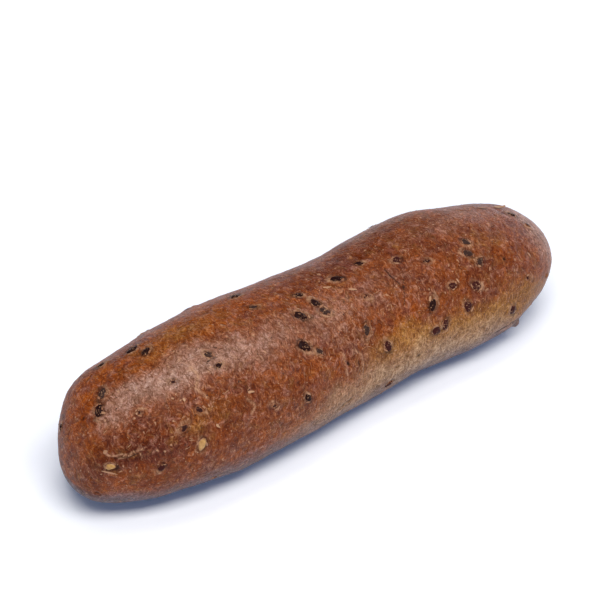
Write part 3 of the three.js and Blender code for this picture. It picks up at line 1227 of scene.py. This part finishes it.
SEED_BLACK = (0.010, 0.004, 0.004, 1)
SEED_RED = (0.046, 0.011, 0.010, 1)
SEED_GREY = (0.075, 0.046, 0.036, 1)
SEED_GOLD = (0.520, 0.300, 0.090, 1)
SEED_AMBER = (0.330, 0.150, 0.035, 1)
FILM = (0.200, 0.075, 0.038, 1)
SEED_PATCH_SIZE = 1.1
SEED_GRAIN_SIZE = 0.45
PALE_SEED_GRAIN_SIZE = 0.8


def seed_material():
    """Dark seeds under a patchy film of dried dough, thickest where a seed goes into the crust, with
    small painted glints.
    """
    nodes = Nodes("flax_seed")
    patchy = nodes.noise(SEED_PATCH_SIZE, 2, 0.6)
    fine = nodes.noise(SEED_GRAIN_SIZE, 1)
    deeper = nodes.span(nodes.mark("buried"), 0.1, 0.6, -0.35, 0.45)
    covered = nodes.math("ADD", nodes.mark("film"), deeper)
    covered = nodes.math("ADD", covered, nodes.span(patchy, 0.3, 0.7, -0.35, 0.35))
    covered = nodes.span(covered, 0.45, 0.65, kind="SMOOTHSTEP")
    # Small pale painted glints on the seeds
    painted_glints = nodes.times(nodes.span(fine, 0.56, 0.64), nodes.span(patchy, 0.48, 0.56, 0.0, 0.75))
    layers = [
        (nodes.mark("red"), SEED_RED),
        (nodes.mark("pale"), SEED_GREY),
        (covered, FILM),
        (painted_glints, CRUST_PALE),
    ]
    bumps = [(patchy, 0.25, 0.8), (fine, 0.1, 0.8)]
    nodes.set(Base_Color=nodes.painted(SEED_BLACK, layers), Normal=nodes.relief(bumps))
    nodes.set(Roughness=nodes.span(covered, 0.0, 1.0, 0.28, 0.5), IOR=1.1)
    return nodes.material


def pale_seed_material():
    nodes = Nodes("golden_seed")
    mottle = nodes.noise(PALE_SEED_GRAIN_SIZE)
    edge = nodes.span(nodes.mark("buried"), 0.25, 0.6, 0.0, 0.8, "SMOOTHSTEP")
    layers = [(nodes.span(mottle, 0.3, 0.7), SEED_AMBER), (edge, FILM)]
    nodes.set(Base_Color=nodes.painted(SEED_GOLD, layers), Normal=nodes.relief([(mottle, 0.08, 0.6)]))
    nodes.set(Roughness=0.38, IOR=1.5)
    return nodes.material


BRAN_DARK = (0.045, 0.014, 0.007, 1)
BRAN_BROWN = (0.260, 0.100, 0.045, 1)
BRAN_PALE = (0.440, 0.240, 0.130, 1)


def bran_material():
    nodes = Nodes("bran")
    tint = nodes.mark("tint")
    layers = [(nodes.span(tint, 0.0, 0.3), BRAN_BROWN), (nodes.span(tint, 0.3, 1.0), BRAN_PALE)]
    nodes.set(Base_Color=nodes.painted(BRAN_DARK, layers), Roughness=0.5, IOR=1.4)
    return nodes.material


def floor_material():
    """White, with a faint cool glow that turns the shadow blue, and a white glow far from the loaf."""
    nodes = Nodes("studio_floor")
    length = nodes.add("ShaderNodeVectorMath", operation="LENGTH")
    nodes.feed(length.inputs[0], nodes.places)
    far = nodes.span(length.outputs["Value"], *FAR_FLOOR)
    nodes.set(Base_Color=FLOOR_WHITE, Roughness=0.9, Specular_IOR_Level=0.0)
    nodes.set(Emission_Color=nodes.mix(far, FLOOR_COOL, FLOOR_WHITE))
    nodes.set(Emission_Strength=nodes.span(far, 0.0, 1.0, FLOOR_GLOW, FAR_FLOOR_GLOW))
    return nodes.material


# ==== Floor, light and camera ====

FLOOR_RADIUS = 2500
FLOOR_DROP = 0.1
FLOOR_CORNERS = 64
FLOOR_WHITE = (0.95, 0.97, 1.0, 1)
FLOOR_COOL = (0.3, 0.5, 1.0, 1)
FLOOR_GLOW = 0.12
# The cool glow gives way to the white one between two distances, in metres
FAR_FLOOR = (0.12, 0.34)
FAR_FLOOR_GLOW = 1.0

WORLD_COLOUR = (0.88, 0.93, 1.0, 1)
WORLD_STRENGTH = 0.12

# Lamps, in metres: name, place that it faces, direction from there, distance, size, power, colour
SOFTBOXES = [
    ("front_softbox", (0, 0, 0.025), (-0.15, -0.43, 0.9), 1.0, (0.8, 0.36), 9.9, (1.0, 0.97, 0.94)),
    ("strip_softbox", (0.08, 0, 0.025), (0, 0.04, 1.0), 1.0, (0.75, 0.26), 2.4, (1.0, 0.98, 0.98)),
    ("rear_softbox", (0, 0, 0.025), (0.93, 0.3, 0.15), 0.95, (0.75, 0.35), 2.8, (0.86, 0.88, 1.0)),
]


def make_floor():
    points = []
    for corner in range(FLOOR_CORNERS):
        angle = 2 * math.pi * corner / FLOOR_CORNERS
        points.append((FLOOR_RADIUS * math.cos(angle), FLOOR_RADIUS * math.sin(angle), -FLOOR_DROP))
    floor = new_piece("floor", points, [list(range(FLOOR_CORNERS))], floor_material())


def aim(thing, position, target):
    thing.location = position
    thing.rotation_mode = "QUATERNION"
    thing.rotation_quaternion = (target - position).to_track_quat("-Z", "Y")


def make_softbox(name, target, direction, distance, size, power, colour):
    light = bpy.data.lights.new(name, "AREA")
    light.shape = "RECTANGLE"
    light.size, light.size_y = size
    light.energy = power
    light.color = colour
    target = Vector(target)
    aim(new_object(name, light), target + Vector(direction).normalized() * distance, target)


def make_world():
    world = bpy.data.worlds.new("white_room")
    world.use_nodes = True
    background = world.node_tree.nodes["Background"]
    background.inputs["Color"].default_value = WORLD_COLOUR
    background.inputs["Strength"].default_value = WORLD_STRENGTH
    bpy.context.scene.world = world


def make_camera():
    azimuth = math.radians(VIEW_AZIMUTH)
    elevation = math.radians(VIEW_ELEVATION)
    level = math.cos(elevation)
    back = Vector((math.sin(azimuth) * level, -math.cos(azimuth) * level, math.sin(elevation)))
    camera_data = bpy.data.cameras.new("camera")
    camera_data.sensor_width = SENSOR_WIDTH
    camera_data.lens = FOCAL_PIXELS / IMAGE_SIDE * SENSOR_WIDTH
    camera_data.shift_x = (IMAGE_SIDE / 2 - TARGET_PIXEL[0]) / IMAGE_SIDE
    camera_data.shift_y = (TARGET_PIXEL[1] - IMAGE_SIDE / 2) / IMAGE_SIDE
    camera = new_object("camera", camera_data)
    target = Vector(VIEW_TARGET) * METRES_PER_MM
    aim(camera, target + back * VIEW_DISTANCE * METRES_PER_MM, target)
    bpy.context.scene.camera = camera


# ==== The whole scene ====


def main():
    bpy.context.scene.view_settings.view_transform = "Standard"
    make_camera()
    make_world()
    for box in SOFTBOXES:
        make_softbox(*box)
    make_floor()

    dark_behind, pale_behind = back_seeds()
    dark = FRONT_SEEDS + dark_behind
    pale = PALE_FRONT_SEEDS + pale_behind

    crust = Crust(dark + pale)
    loaf = make_crust(crust, crust_material())
    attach(loaf, "root")
    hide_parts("loaf")

    dark_seeds = make_seeds("dark_seeds", dark, seed_material())
    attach(dark_seeds, "root")

    pale_seeds = make_seeds("pale_seeds", pale, pale_seed_material())
    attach(pale_seeds, "root")

    flakes = make_flakes("crust_flakes", lifted_flakes() + shreds(dark + pale), bran_material())
    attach(flakes, "root")

    flecks = make_flecks("bran_flecks", crust, bran_material())
    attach(flecks, "root")


main()
